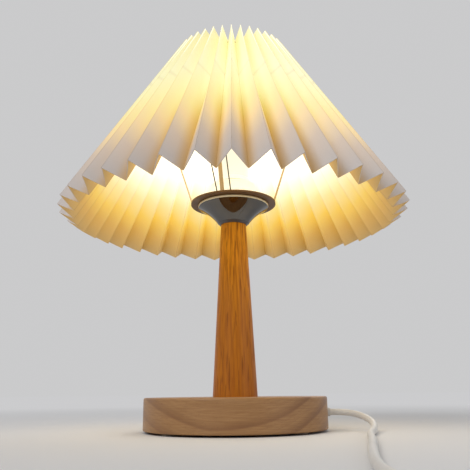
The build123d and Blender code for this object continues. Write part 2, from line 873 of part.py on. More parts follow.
# Tie round the coil's turns, on the side away from the lead's ends
tie_inner = coil_radius - coil_pitch * coil_turns / 2 - cord_radius - tie_bend_room
tie_outer = coil_radius - coil_pitch / 2 + cord_radius + tie_gap
tie_top = coil_high + cord_radius + tie_gap
with BuildPart() as cord_tie:
    with BuildSketch(Plane((coil_x, coil_y + tie_width / 2, 0), x_dir=(-1, 0, 0), z_dir=(0, 1, 0))):
        with Locations(((tie_inner + tie_outer) / 2, (tie_top + tie_thickness) / 2)):
            Rectangle(tie_outer - tie_inner + 2 * tie_thickness, tie_top + tie_thickness)
        with Locations(((tie_inner + tie_outer) / 2, (tie_top + tie_thickness) / 2)):
            Rectangle(tie_outer - tie_inner, tie_top - tie_thickness, mode=Mode.SUBTRACT)
    extrude(amount=-tie_width)
save("cord_tie", cord_tie)

# Lead from the switch into the coil
tail_route = (
    (switch_out - switch_grip, switch_y, switch_mid),
    (switch_out + switch_run, switch_y, switch_mid),
    (189.6, -346.3, 6.6),
    (198.6, -338.0, 4.9),
    (203.0, -326.6, 3.9),
    (202.8, -314.6, coil_low),
    (coil_start.X, coil_start.Y - coil_run, coil_low),
    tuple(coil_start),
)
tail_radii = bend_radii(tail_route)
print("tail bends", [round(radius, 1) for radius in tail_radii])
cord_tail, tail_length = lead_piece(tail_route, cord_radius, tail_radii)
save("cord_tail", cord_tail)

# Lead from the coil to the plug
plug_x = coil_end.X + 2.6
plug_mid = plug_thickness / 2
boot_start = coil_end.Y + plug_reach
end_route = (
    tuple(coil_end),
    (coil_end.X, coil_end.Y + 0.12 * plug_reach, coil_high),
    (coil_end.X + 0.5, coil_end.Y + 0.3 * plug_reach, 7.4),
    (coil_end.X + 1.6, coil_end.Y + 0.5 * plug_reach, 4.8),
    (plug_x, coil_end.Y + 0.72 * plug_reach, 5.2),
    (plug_x, boot_start - boot_run, plug_mid),
    (plug_x, boot_start, plug_mid),
)
end_radii = bend_radii(end_route)
print("plug end bends", [round(radius, 1) for radius in end_radii])
cord_end, end_length = lead_piece(end_route, cord_radius, end_radii)
save("cord_end", cord_end)
switch_hidden = switch_length - 2 * switch_grip
whole_lead = lead_length + switch_hidden + tail_length + coil_length + end_length
print(f"free lead {lead_length:.0f} + {switch_hidden:.0f} + {tail_length:.0f} + {coil_length:.0f} + "
      f"{end_length:.0f} = {whole_lead:.0f} mm")

# Switch: two shells split on the lead's centreline, screwed from below, with a tilting rocker
pivot_height = switch_height - rocker_pivot_drop
screws_at = [(switch_x + x, switch_y + y) for x, y in switch_screws]
cavity_length = switch_length - 2 * switch_wall
cavity_width = switch_width - 2 * switch_wall
cavity_corner = switch_corner - switch_wall

with BuildPart() as lead_channel:
    with BuildSketch(Plane.YZ.offset(switch_in)):
        with Locations((switch_y, switch_mid)):
            Circle(cord_radius + thread_gap)
    extrude(amount=switch_length)

with BuildPart() as switch_lower:
    with BuildSketch():
        with Locations(switch_centre):
            RectangleRounded(switch_length, switch_width, switch_corner)
    extrude(amount=switch_mid)
    fillet(switch_lower.edges().group_by(Axis.Z)[0], radius=switch_edge_round)
    with BuildSketch(Plane.XY.offset(switch_wall)):
        with Locations(switch_centre):
            RectangleRounded(cavity_length, cavity_width, cavity_corner)
    extrude(amount=switch_mid - switch_wall, mode=Mode.SUBTRACT)
    add(lead_channel.part, mode=Mode.SUBTRACT)
    with BuildSketch(Plane.XY.offset(switch_wall)):
        with Locations(*screws_at):
            Circle(boss_radius)
    extrude(amount=switch_mid - switch_wall)
    with BuildSketch():
        with Locations(*screws_at):
            Circle(switch_screw_radius + fit_gap)
    extrude(amount=switch_mid, mode=Mode.SUBTRACT)
    with BuildSketch():
        with Locations(*screws_at):
            Circle(switch_screw_head_radius + fit_gap)
    extrude(amount=switch_screw_head_height + fit_gap, mode=Mode.SUBTRACT)
save("switch_lower", switch_lower)

cheek_gap = rocker_width / 2 + run_gap
with BuildPart() as switch_upper:
    with BuildSketch(Plane.XY.offset(switch_mid)):
        with Locations(switch_centre):
            RectangleRounded(switch_length, switch_width, switch_corner)
    extrude(amount=switch_height - switch_mid)
    fillet(switch_upper.edges().group_by(Axis.Z)[-1], radius=switch_edge_round)
    with BuildSketch(Plane.XY.offset(switch_mid)):
        with Locations(switch_centre):
            RectangleRounded(cavity_length, cavity_width, cavity_corner)
    extrude(amount=switch_height - switch_mid - switch_wall, mode=Mode.SUBTRACT)
    add(lead_channel.part, mode=Mode.SUBTRACT)
    with BuildSketch(Plane.XY.offset(switch_mid)):
        with Locations(*screws_at):
            Circle(boss_radius)
    extrude(amount=switch_height - switch_mid - switch_wall)
    with BuildSketch(Plane.XY.offset(switch_mid)):
        with Locations(*screws_at):
            Circle(switch_screw_radius + thread_gap)
    extrude(amount=switch_height - switch_mid - switch_wall, mode=Mode.SUBTRACT)
    with BuildSketch(Plane.XY.offset(pivot_height - cheek_thickness)):
        for side in (1, -1):
            with Locations((switch_x, switch_y + side * (cheek_gap + cheek_thickness / 2))):
                Rectangle(cheek_length, cheek_thickness)
    extrude(amount=switch_height - switch_wall - pivot_height + cheek_thickness)
    with BuildSketch(Plane.XY.offset(switch_height - switch_wall)):
        with Locations(switch_centre):
            Rectangle(2 * (rocker_radius + run_gap), 2 * cheek_gap)
    extrude(amount=switch_wall, mode=Mode.SUBTRACT)
    with BuildSketch(Plane((switch_x, switch_y, pivot_height), x_dir=(1, 0, 0), z_dir=(0, -1, 0))):
        Circle(rocker_pin_radius + thread_gap)
    extrude(amount=cheek_gap + cheek_thickness, both=True, mode=Mode.SUBTRACT)
save("switch_upper", switch_upper)

tilt = radians(rocker_tilt)
rocker_plane = Plane(
    (switch_x, switch_y, pivot_height), x_dir=(cos(tilt), 0, -sin(tilt)), z_dir=(0, -1, 0)
)
with BuildPart() as switch_rocker:
    with BuildSketch(rocker_plane):
        Circle(rocker_radius)
        with BuildLine():
            Polyline(
                (-rocker_radius, -rocker_depth),
                (rocker_radius, -rocker_depth),
                (rocker_radius, rocker_ends),
                (0, rocker_middle),
                (-rocker_radius, rocker_ends),
                close=True,
            )
        make_face(mode=Mode.INTERSECT)
    extrude(amount=rocker_width / 2, both=True)
    with BuildSketch(rocker_plane):
        Circle(rocker_pin_radius)
    extrude(amount=cheek_gap + cheek_thickness - fit_gap, both=True)
save("switch_rocker", switch_rocker)

with BuildPart() as switch_screw_pair:
    with BuildSketch(Plane.XY.offset(fit_gap)):
        with Locations(*screws_at):
            Circle(switch_screw_head_radius)
    extrude(amount=switch_screw_head_height)
    with BuildSketch(Plane.XY.offset(fit_gap)):
        with Locations(*screws_at):
            Circle(switch_screw_radius)
    extrude(amount=switch_height - switch_wall - 2 * fit_gap)
    with BuildSketch(Plane.XY.offset(fit_gap)):
        with Locations(*screws_at):
            cross_bars(switch_screw_head_radius)
    extrude(amount=drive_depth, mode=Mode.SUBTRACT)
save("switch_screw_pair", switch_screw_pair)

contact_long, contact_wide, contact_thick = switch_contact
with BuildPart() as switch_contacts:
    for side in (1, -1):
        with BuildSketch(Plane.XY.offset(switch_wall)):
            with Locations((switch_x + side * switch_contact_spread, switch_y)):
                Rectangle(contact_long, contact_wide)
        extrude(amount=contact_thick)
        with BuildSketch(Plane.XY.offset(switch_wall)):
            with Locations((switch_x + side * (switch_contact_spread - contact_long / 2), switch_y)):
                Rectangle(contact_thick, contact_wide)
        extrude(amount=switch_contact_rise)
save("switch_contacts", switch_contacts)

# Plug: moulded body, tapered boot, pins and their sleeves
plug_rear = boot_start + boot_length
plug_face = plug_rear + plug_length
pins_at = ((plug_x - pin_spread, plug_mid), (plug_x + pin_spread, plug_mid))


def facing_plug(y):
    """Upright plane across the plug, its z towards the pins and its x and y along X and Z."""
    return Plane((0, y, 0), x_dir=(1, 0, 0), z_dir=(0, -1, 0))


with BuildPart() as plug_body:
    with BuildSketch():
        with BuildLine():
            Polyline(
                (plug_x - plug_tail_width / 2, plug_rear),
                (plug_x - plug_face_width / 2, plug_rear + plug_shoulder),
                (plug_x - plug_face_width / 2, plug_face),
                (plug_x + plug_face_width / 2, plug_face),
                (plug_x + plug_face_width / 2, plug_rear + plug_shoulder),
                (plug_x + plug_tail_width / 2, plug_rear),
                close=True,
            )
        make_face()
    extrude(amount=plug_thickness)
    fillet(plug_body.edges().filter_by(Axis.Z), radius=plug_edge_round)
    fillet(plug_body.faces().filter_by(Axis.Z).edges(), radius=plug_edge_round / 2)
    with BuildSketch(facing_plug(plug_face)):
        with Locations(*pins_at):
            Circle(pin_waist_radius + thread_gap)
    extrude(amount=pin_root, mode=Mode.SUBTRACT)
save("plug_body", plug_body)

with BuildPart() as plug_boot:
    with BuildSketch(Plane.XY.offset(plug_mid)):
        with BuildLine():
            Polyline(
                (plug_x + cord_radius + thread_gap, boot_start),
                (plug_x + boot_tip_radius, boot_start),
                (plug_x + boot_foot_radius, plug_rear),
                (plug_x + cord_radius + thread_gap, plug_rear),
                close=True,
            )
        make_face()
    revolve(axis=Axis((plug_x, 0, plug_mid), (0, 1, 0)))
save("plug_boot", plug_boot)

with BuildPart() as boot_lead:
    with BuildSketch(facing_plug(plug_rear)):
        with Locations((plug_x, plug_mid)):
            Circle(cord_radius)
    extrude(amount=boot_length)
save("boot_lead", boot_lead)

with BuildPart() as plug_pins:
    with BuildSketch(facing_plug(plug_face - pin_root)):
        with Locations(*pins_at):
            Circle(pin_waist_radius)
    extrude(amount=-(pin_root + sleeve_length))
    with BuildSketch(facing_plug(plug_face + sleeve_length)):
        with Locations(*pins_at):
            Circle(pin_radius)
    extrude(amount=-(pin_length - sleeve_length))
    fillet(plug_pins.edges().group_by(Axis.Y)[-1], radius=pin_radius / 2)
save("plug_pins", plug_pins)

with BuildPart() as pin_sleeves:
    with BuildSketch(facing_plug(plug_face)):
        with Locations(*pins_at):
            Circle(sleeve_radius)
            Circle(pin_waist_radius + thread_gap, mode=Mode.SUBTRACT)
    extrude(amount=-sleeve_length)
save("pin_sleeves", pin_sleeves)
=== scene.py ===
"""Looks of the pleated table lamp: finishes, mains cord, film shade, draw thread and bulb cap."""

from math import cos, pi, radians, sin

import bpy
from mathutils import Matrix, Vector


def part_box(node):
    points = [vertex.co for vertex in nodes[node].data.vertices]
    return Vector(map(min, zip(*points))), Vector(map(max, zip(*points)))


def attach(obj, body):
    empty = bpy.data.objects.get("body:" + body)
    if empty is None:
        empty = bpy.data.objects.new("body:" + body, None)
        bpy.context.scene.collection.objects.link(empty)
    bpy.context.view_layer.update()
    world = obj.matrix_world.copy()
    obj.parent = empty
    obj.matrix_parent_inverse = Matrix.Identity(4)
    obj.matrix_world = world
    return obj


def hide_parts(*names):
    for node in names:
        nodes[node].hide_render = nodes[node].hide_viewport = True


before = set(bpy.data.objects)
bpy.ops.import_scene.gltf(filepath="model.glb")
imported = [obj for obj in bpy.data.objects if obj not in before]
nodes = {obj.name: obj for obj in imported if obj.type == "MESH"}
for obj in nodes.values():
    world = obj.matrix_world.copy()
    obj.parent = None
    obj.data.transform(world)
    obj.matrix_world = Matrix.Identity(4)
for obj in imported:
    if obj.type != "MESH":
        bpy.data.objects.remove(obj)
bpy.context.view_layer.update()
MM = 0.001


def placed(name, data):
    """New object in the scene."""
    thing = bpy.data.objects.new(name, data)
    bpy.context.scene.collection.objects.link(thing)
    return thing


# Camera, at the place from which the photograph was taken
FRAME_PIXELS = 470
FOCAL_PIXELS = 578.0
SENSOR = 36.0
CAMERA_PLACE = (0.0012, -0.490, 0.0295)
LOOKS_UP = radians(15.3)
CAMERA_ROLL = radians(-0.62)

camera_lens = bpy.data.cameras.new("camera")
camera_lens.sensor_width = SENSOR
camera_lens.lens = SENSOR * FOCAL_PIXELS / FRAME_PIXELS
camera_lens.clip_start = 0.01
camera = placed("camera", camera_lens)
camera.matrix_world = (
    Matrix.Translation(CAMERA_PLACE)
    @ Matrix.Rotation(pi / 2 + LOOKS_UP, 4, "X")
    @ Matrix.Rotation(CAMERA_ROLL, 4, "Z")
)
bpy.context.scene.camera = camera


# Node graphs
class Socket:
    """One output of a node. Arithmetic on it adds Math nodes to its graph."""

    def __init__(self, graph, output):
        self.graph = graph
        self.output = output

    def __add__(self, other):
        return self.graph.maths("ADD", self, other)

    __radd__ = __add__

    def __sub__(self, other):
        return self.graph.maths("SUBTRACT", self, other)

    def __rsub__(self, other):
        return self.graph.maths("SUBTRACT", other, self)

    def __mul__(self, other):
        return self.graph.maths("MULTIPLY", self, other)

    __rmul__ = __mul__

    def __truediv__(self, other):
        return self.graph.maths("DIVIDE", self, other)

    def __mod__(self, other):
        return self.graph.maths("FLOORED_MODULO", self, other)

    def __pow__(self, other):
        return self.graph.maths("POWER", self, other)


class Graph:
    """A node tree, of a material or of a shape."""

    def __init__(self, tree):
        self.tree = tree

    def add(self, kind, inputs=(), output=0, stops=(), **settings):
        """One node: its settings first, then the values or links of its sockets."""
        node = self.tree.nodes.new(kind)
        for name, value in settings.items():
            setattr(node, name, value)
        for _ in stops[2:]:
            node.color_ramp.elements.new(0.5)
        for element, (place, colour) in zip(node.color_ramp.elements if stops else (), stops):
            element.position = place
            element.color = (*colour, 1)
        for name, value in dict(inputs).items():
            self.feed(node.inputs[name], value)
        return Socket(self, node.outputs[output])

    def feed(self, target, value):
        if isinstance(value, Socket):
            self.tree.links.new(value.output, target)
        else:
            target.default_value = value

    def maths(self, operation, *values):
        return self.add("ShaderNodeMath", enumerate(values), operation=operation)

    def split(self, vector):
        """The three parts of a vector."""
        first = self.add("ShaderNodeSeparateXYZ", {0: vector})
        return [Socket(self, output) for output in first.output.node.outputs]

    def joined(self, x, y, z):
        return self.add("ShaderNodeCombineXYZ", {"X": x, "Y": y, "Z": z})

    def equal(self, first, second):
        """1 where two whole numbers are the same, else 0."""
        return self.add("ShaderNodeMath", {0: first, 1: second, 2: 0.5}, operation="COMPARE")

    def sheet(self, columns, rows):
        """Flat sheet of points, one unit wide and high, with each point's share of the way across and up."""
        flat = self.add(
            "GeometryNodeMeshGrid",
            {"Size X": 1.0, "Size Y": 1.0, "Vertices X": columns + 1, "Vertices Y": rows + 1},
        )
        across, along, _ = self.split(self.add("GeometryNodeInputPosition"))
        return flat, across + 0.5, along + 0.5

    def marked(self, shape, **values):
        """The shape with numbers stored on its points."""
        for name, value in values.items():
            shape = self.add(
                "GeometryNodeStoreNamedAttribute",
                {"Geometry": shape, "Name": name, "Value": value},
                data_type="FLOAT",
            )
        return shape

    def stored(self, name):
        """A number stored on the points."""
        return self.add("GeometryNodeInputNamedAttribute", {"Name": name}, data_type="FLOAT")


class Finish(Graph):
    """A material: its shader's constants are set on the sockets, and its patterns come from nodes."""

    def __init__(self, name, **constants):
        self.material = bpy.data.materials.new(name)
        self.material.use_nodes = True
        super().__init__(self.material.node_tree)
        self.shader = self.tree.nodes["Principled BSDF"]
        self.place = self.add("ShaderNodeTexCoord", output="Object")
        self.surface(**constants)

    def surface(self, **sockets):
        """Feeds the shader's sockets, written as base_color for Base Color."""
        for name, value in sockets.items():
            plain = name.replace("_", " ").title().replace("Ior", "IOR")
            if isinstance(value, tuple) and len(value) == 3:
                value = (*value, 1)
            self.feed(self.shader.inputs[plain], value)

    def noise(self, scale, detail=2.0, roughness=0.5, stretch=(1, 1, 1), at=None):
        where = self.add("ShaderNodeMapping", {"Vector": at or self.place, "Scale": stretch})
        return self.add(
            "ShaderNodeTexNoise", {"Vector": where, "Scale": scale, "Detail": detail, "Roughness": roughness}
        )

    def eased(self, value, low, high):
        """0 below low, 1 above high, and a smooth step between."""
        return self.add(
            "ShaderNodeMapRange",
            {"Value": value, "From Min": low, "From Max": high},
            interpolation_type="SMOOTHSTEP",
        )

    def blend(self, share, first, second):
        """Colour a share of the way from the first to the second."""
        colours = [c if isinstance(c, Socket) else (*c, 1) for c in (first, second)]
        return self.add(
            "ShaderNodeMix", {0: share, 6: colours[0], 7: colours[1]}, output=2, data_type="RGBA"
        )

    def ramp(self, value, *stops):
        return self.add("ShaderNodeValToRGB", {"Fac": value}, stops=stops)

    def relief(self, height, depth, strength=1.0):
        """Bump of a height that runs from 0 to 1 over a depth in metres."""
        self.surface(
            normal=self.add("ShaderNodeBump", {"Height": height, "Distance": depth, "Strength": strength})
        )

    def attribute(self, name):
        return self.add("ShaderNodeAttribute", output="Fac", attribute_name=name)


# Finishes
SWITCH_MIDDLE = 8.0  # height of the cord in the switch, in millimetres
LAMP_THREAD_PITCH = 0.00363  # seven turns to the inch
RING_RISE = 0.648  # share of the shade's height at which the carrier ring's shadow falls
RING_SLANT = 0.019  # how much higher it falls on the inner folds
globe_low, globe_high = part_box("bulb_globe")
BULB_RADIUS = (globe_high.x - globe_low.x) / 2
BULB_WIDEST = globe_high.z - BULB_RADIUS


def base_board():
    """Plain-sawn board: growth rings lie round a line from front to back, far above the base."""
    wood = Finish("base_board_wood", coat_weight=0.12, coat_roughness=0.3)
    ring_middle = (-0.006, 0.117)
    ring_spacing = 0.0135
    ring_phase = 0.9
    pale, tan, brown = (0.385, 0.205, 0.076), (0.305, 0.15, 0.05), (0.185, 0.074, 0.023)
    x, y, z = wood.split(wood.place)
    wander = wood.noise(14, 3) - 0.5
    from_middle = (((x - ring_middle[0]) ** 2) + ((z - ring_middle[1]) ** 2)) ** 0.5 + wander * 0.006 + y * 0.05
    ring = (from_middle / ring_spacing + ring_phase) % 1
    heart_side = wood.eased(from_middle, 0.096, 0.102)
    late_wood = wood.eased(ring, 0.4, 0.86) * (1 - wood.eased(ring, 0.86, 1.0)) * heart_side
    faint_ring = (from_middle / ring_spacing * 4) % 1
    streaks = wood.noise(60, 4, 0.6, (1, 1, 16))
    pores = wood.eased(wood.noise(420, 2, 0.5, (1, 1, 6)), 0.6, 0.72)
    patches = wood.noise(22, 2)
    colour = wood.blend(wood.eased(streaks, 0.3, 0.7), tan, pale)
    colour = wood.blend(late_wood * (0.22 + patches * 0.7), colour, brown)
    colour = wood.blend(faint_ring * 0.16, colour, brown)
    colour = wood.blend(pores * 0.4, colour, brown)
    wood.surface(base_color=colour, roughness=0.36 + streaks * 0.2 + pores * 0.12)
    wood.relief(streaks * 0.7 - pores * 0.6, 0.00012)
    return wood.material


def stem_timber():
    """Honey-coloured timber with fine upright grain and short dark pores, with painted light making it paler
    towards the top.
    """
    wood = Finish("stem_timber", specular_ior_level=0.22)
    pale, honey, dark = (0.78, 0.31, 0.012), (0.39, 0.12, 0.005), (0.17, 0.042, 0.003)
    pith = (0.045, 0.02)
    x, y, z = wood.split(wood.place)
    wander = wood.noise(30, 2, 0.5, (1, 1, 0.15)) - 0.5
    from_pith = (((x - pith[0]) ** 2) + ((y - pith[1]) ** 2)) ** 0.5 + wander * 0.003
    band = (from_pith / 0.0026) % 1
    fibres = wood.noise(640, 3, 0.65, (1, 1, 0.03))
    pores = wood.eased(wood.noise(620, 2, 0.5, (1, 1, 0.045)), 0.58, 0.68)
    patches = wood.noise(26, 2, 0.5, (1, 1, 0.25))
    # Painted light: the timber turns paler towards the top, as if lit from the shade above.
    painted_light_toward_top = wood.eased(z, 0.07, 0.17)
    grain_and_painted_light = wood.eased(fibres, 0.3, 0.7) * (0.25 + painted_light_toward_top * 0.75) + painted_light_toward_top * 0.2
    colour = wood.blend(grain_and_painted_light, honey, pale)
    colour = wood.blend(wood.eased(band, 0.5, 1.0) * (patches * 0.34), colour, dark)
    colour = wood.blend(pores * 0.62, colour, dark)
    wood.surface(base_color=colour, roughness=0.34 + fibres * 0.16 + pores * 0.15)
    wood.relief(fibres * 0.6 - pores, 0.0001)
    return wood.material


def metal(name, colour, roughness, turned=0.0, worn=0.0, metallic=1.0):
    """Metal with fine lines turned round the upright axis, smudges, and worn lacquer where it has any."""
    finish = Finish(name, metallic=metallic)
    x, y, z = finish.split(finish.place)
    radius = (x * x + y * y) ** 0.5
    lines = finish.noise(1.0, 2, 0.5, (1, 1, 1), finish.joined(radius * 2600, z * 2600, 0.0))
    smudges = finish.noise(38, 3, 0.55)
    duller = tuple(0.78 * part for part in colour)
    shade = finish.blend(finish.eased(smudges, 0.35, 0.75) * (0.35 + worn), colour, duller)
    finish.surface(base_color=shade, roughness=roughness * (0.75 + smudges * 0.5) + lines * turned)
    finish.relief(lines, 0.00002 + turned * 0.0002, 0.35)
    return finish.material


def screw_thread(name, colour, roughness, pitch, depth):
    """Metal with a rolled thread round the upright axis, duller in its roots."""
    finish = Finish(name, metallic=1.0)
    x, y, z = finish.split(finish.place)
    turn = finish.maths("ARCTAN2", y, x) / (2 * pi)
    crest = finish.maths("SINE", (z / pitch - turn) * (2 * pi)) * 0.5 + 0.5
    smudges = finish.noise(38, 3, 0.55)
    dull = tuple(0.55 * part for part in colour)
    finish.surface(
        base_color=finish.blend((1 - crest) * 0.7, colour, dull), roughness=roughness * (0.75 + smudges * 0.5)
    )
    finish.relief(crest, depth)
    return finish.material


def plastic(name, colour, roughness, grain=0.00004, glow=(0.0, 0.0, 0.0)):
    """Moulded plastic: fine spark-eroded grain, slightly uneven tone, and, where given, a painted glow standing
    in for the bulb's light on it.
    """
    finish = Finish(name, emission_color=glow, emission_strength=1.0)
    cells = finish.noise(2400, 2, 0.6)
    tone = finish.noise(45, 2)
    deeper = tuple(0.86 * part for part in colour)
    finish.surface(
        base_color=finish.blend(finish.eased(tone, 0.35, 0.7), colour, deeper),
        roughness=roughness + cells * 0.12 + tone * 0.06,
    )
    finish.relief(cells, grain, 0.5)
    return finish.material


def seamed_shell():
    """White moulding in two halves, with a fine groove where they meet."""
    finish = Finish("switch_moulding")
    white, deeper, shadow = (0.70, 0.69, 0.665), (0.61, 0.6, 0.575), (0.2, 0.19, 0.18)
    z = finish.split(finish.place)[2]
    cells = finish.noise(2400, 2, 0.6)
    tone = finish.noise(45, 2)
    groove = 1 - finish.eased(finish.maths("ABSOLUTE", z - SWITCH_MIDDLE * MM), 0.0001, 0.0003)
    colour = finish.blend(finish.eased(tone, 0.35, 0.7), white, deeper)
    finish.surface(
        base_color=finish.blend(groove * 0.8, colour, shadow), roughness=0.3 + cells * 0.12 + tone * 0.06
    )
    finish.relief(cells * 0.1 - groove, 0.0003, 0.6)
    return finish.material


def felt():
    """Pressed felt: matted fibres."""
    finish = Finish("pressed_felt")
    fibres = finish.noise(1500, 4, 0.75)
    clumps = finish.noise(260, 2)
    finish.surface(
        base_color=finish.blend(fibres * 0.5 + clumps * 0.5, (0.055, 0.042, 0.032), (0.15, 0.12, 0.095)),
        roughness=0.85 + fibres * 0.12,
    )
    finish.relief(fibres, 0.0003)
    return finish.material


def film(name, white, clouded, fold_light_and_shade, *glow):
    """Pleated film with painted light from the bulb: bright near the bulb, grey at the rim, painted warm light
    and shade in the inner folds, painted shade on the creases and the ring's painted shadow.
    """
    finish = Finish(name, emission_strength=1.0)
    # Painted shade colours: tan along the inner folds, brown along the creases.
    tan, brown = (0.42, 0.275, 0.12), (0.27, 0.2, 0.14)
    rise = finish.attribute("rise")
    fold = finish.attribute("fold")
    fibres = finish.noise(900, 3, 0.65)
    clouds = finish.noise(32, 2)
    # Painted shade along every crease, where the folded film lets less of the bulb's light through.
    crease = (1 - finish.eased(fold, 0.0, 0.05)) + finish.eased(fold, 0.955, 1.0)
    # Painted warm light and painted shade along the inner folds, fading out up the film.
    warm = finish.eased(fold, 0.45, 1.0) * (1 - finish.eased(rise, 0.25, 0.6)) * fold_light_and_shade
    ring_line = RING_RISE + fold * RING_SLANT
    ring_shadow = 1 - finish.eased(finish.maths("ABSOLUTE", rise - ring_line), 0.003, 0.015)
    colour = finish.blend(fibres * 0.3 + clouds * 0.4, white, clouded)
    colour = finish.blend(warm * 0.75, colour, tan)
    colour = finish.blend(crease * 0.35, colour, brown)
    light = finish.ramp(rise + (fold - 0.5) * 0.04 + (clouds - 0.5) * 0.05, *glow)
    light = finish.blend(warm * 0.45, light, (0.22, 0.115, 0.0))
    light = finish.blend(ring_shadow * 0.22 + crease * 0.12, light, (0.2, 0.13, 0.04))
    finish.surface(base_color=colour, roughness=0.52 + fibres * 0.15, emission_color=light)
    finish.relief(fibres, 0.00005, 0.5)
    return finish.material


def glowing(name, colour, glow, strength):
    """Opal or phosphor surface with its own warm light, most at the height of the bulb's widest part."""
    finish = Finish(name, emission_strength=strength, coat_weight=0.3, coat_roughness=0.12)
    milk = finish.noise(60, 2)
    dimmer = tuple(part * fade for part, fade in zip(glow, (0.86, 0.82, 0.74)))
    z = finish.split(finish.place)[2]
    from_widest = finish.maths("ABSOLUTE", z - BULB_WIDEST) / BULB_RADIUS
    finish.surface(
        base_color=colour,
        roughness=0.22 + milk * 0.1,
        emission_color=finish.blend(finish.eased(from_widest, 0.35, 1.05) + milk * 0.1, glow, dimmer),
    )
    finish.relief(milk, 0.00005, 0.3)
    return finish.material


def jacket():
    """Smooth white lead with a faint drawn texture and a little handling grime."""
    finish = Finish("lead_jacket")
    grime = finish.noise(34, 3)
    drawn = finish.noise(1100, 2)
    finish.surface(
        base_color=finish.blend(finish.eased(grime, 0.45, 0.8) * 0.5, (0.70, 0.685, 0.66), (0.56, 0.54, 0.51)),
        roughness=0.38 + grime * 0.15,
    )
    finish.relief(drawn, 0.00003, 0.4)
    return finish.material


def strap():
    """Woven tie strap."""
    finish = Finish("tie_strap")
    rib_width = 0.0004
    y = finish.split(finish.place)[1]
    ribs = finish.maths("PINGPONG", y, rib_width) / rib_width
    fuzz = finish.noise(1800, 2)
    finish.surface(
        base_color=finish.blend(ribs * 0.6 + fuzz * 0.4, (0.36, 0.36, 0.36), (0.58, 0.58, 0.57)),
        roughness=0.7 + fuzz * 0.2,
    )
    finish.relief(ribs, 0.0003)
    return finish.material


BASE_BOARD = base_board()
STEM_TIMBER = stem_timber()
# Chrome with a very dark tint: painted shade standing in for dark surroundings seen in its mirror face.
CHROME_PAINTED_DARK = metal("chrome_plate", (0.155, 0.149, 0.142), 0.04)
PALE_BRASS = metal("pale_brass", (0.95, 0.86, 0.60), 0.2, turned=0.05, metallic=0.3)
PLAIN_BRASS = metal("plain_brass", (0.74, 0.55, 0.25), 0.28, turned=0.1)
NICKEL = metal("nickel_plate", (0.66, 0.64, 0.6), 0.2, turned=0.08)
ZINC = metal("zinc_plate", (0.55, 0.55, 0.54), 0.34, turned=0.1, worn=0.2)
CAP_PLATE = metal("cap_plate", (0.66, 0.64, 0.6), 0.22, turned=0.04)
SHELL_THREAD = screw_thread("shell_thread", (0.74, 0.55, 0.25), 0.28, LAMP_THREAD_PITCH, 0.0009)
ROD_THREAD = screw_thread("rod_thread", (0.55, 0.55, 0.54), 0.34, 0.001, 0.0004)
DARK_COLLAR = metal("dark_collar", (0.115, 0.115, 0.12), 0.3, turned=0.1, metallic=0.7)
BRONZE_PLATE = metal("bronze_plate", (0.16, 0.08, 0.026), 0.42, turned=0.12, worn=0.3, metallic=0.25)
BRONZE_STRIP = metal("bronze_strip", (0.66, 0.49, 0.26), 0.34, turned=0.05, worn=0.2, metallic=0.3)
BRIGHT_WIRE = metal("bright_wire", (0.66, 0.6, 0.48), 0.26, turned=0.05)
# Stay wires painted near-black: painted shade for wires seen against the lit shade from behind.
STAY_WIRE_PAINTED_SHADE = metal("dark_wire", (0.085, 0.09, 0.06), 0.4, turned=0.05, metallic=0.3)
COVER_PAINT = metal("cover_paint", (0.045, 0.043, 0.04), 0.55, turned=0.05, worn=0.3, metallic=0.0)
# The lampholder mouldings glow with painted light from the bulb, though they are no lamp.
IVORY_MOULDING_PAINTED_GLOW = plastic("ivory_moulding", (0.72, 0.68, 0.60), 0.34, glow=(0.6, 0.56, 0.44))
WHITE_MOULDING = plastic("white_moulding", (0.70, 0.69, 0.665), 0.3)
SEAMED_SHELL = seamed_shell()
IVORY_CERAMIC = plastic("ivory_ceramic", (0.66, 0.63, 0.56), 0.16, grain=0.00002)
BLACK_GLASS = plastic("black_glass", (0.02, 0.02, 0.024), 0.1, grain=0.00001)
SLEEVE_PLASTIC = plastic("sleeve_plastic", (0.03, 0.03, 0.03), 0.42)
LIVE_JACKET = plastic("live_jacket", (0.10, 0.04, 0.018), 0.4)
NEUTRAL_JACKET = plastic("neutral_jacket", (0.02, 0.06, 0.26), 0.4)
FELT = felt()
JACKET = jacket()
STRAP = strap()
OPAL = glowing("opal_glass", (0.3, 0.28, 0.23), (1.0, 0.96, 0.84), 1.0)
PHOSPHOR = glowing("lit_phosphor", (0.5, 0.42, 0.2), (1.0, 0.88, 0.6), 1.0)
# One film twice, outside and inside, each with its own painted light from the bulb; the yellower base colour
# inside is painted warm light too.
FILM_OUTSIDE = film(
    "film_outside", (0.55, 0.51, 0.50), (0.48, 0.44, 0.42), 1.0,
    (0.0, (0.07, 0.055, 0.04)), (0.15, (0.21, 0.135, 0.06)), (0.29, (0.49, 0.32, 0.05)),
    (0.38, (0.54, 0.42, 0.06)), (0.5, (0.55, 0.51, 0.15)), (0.66, (0.55, 0.54, 0.25)), (1.0, (0.52, 0.49, 0.17)),
)
FILM_INSIDE = film(
    "film_inside", (0.55, 0.46, 0.29), (0.48, 0.4, 0.24), 0.0,
    (0.0, (0.13, 0.06, 0.0)), (0.1, (0.31, 0.15, 0.0)), (0.19, (0.52, 0.33, 0.02)), (0.29, (0.56, 0.49, 0.22)),
    (0.37, (0.72, 0.69, 0.52)), (0.46, (0.95, 0.93, 0.86)), (0.6, (1.2, 1.15, 1.0)), (1.0, (1.0, 0.95, 0.8)),
)
THREAD = plastic("cotton_thread", (0.55, 0.47, 0.36), 0.7, grain=0.0001)

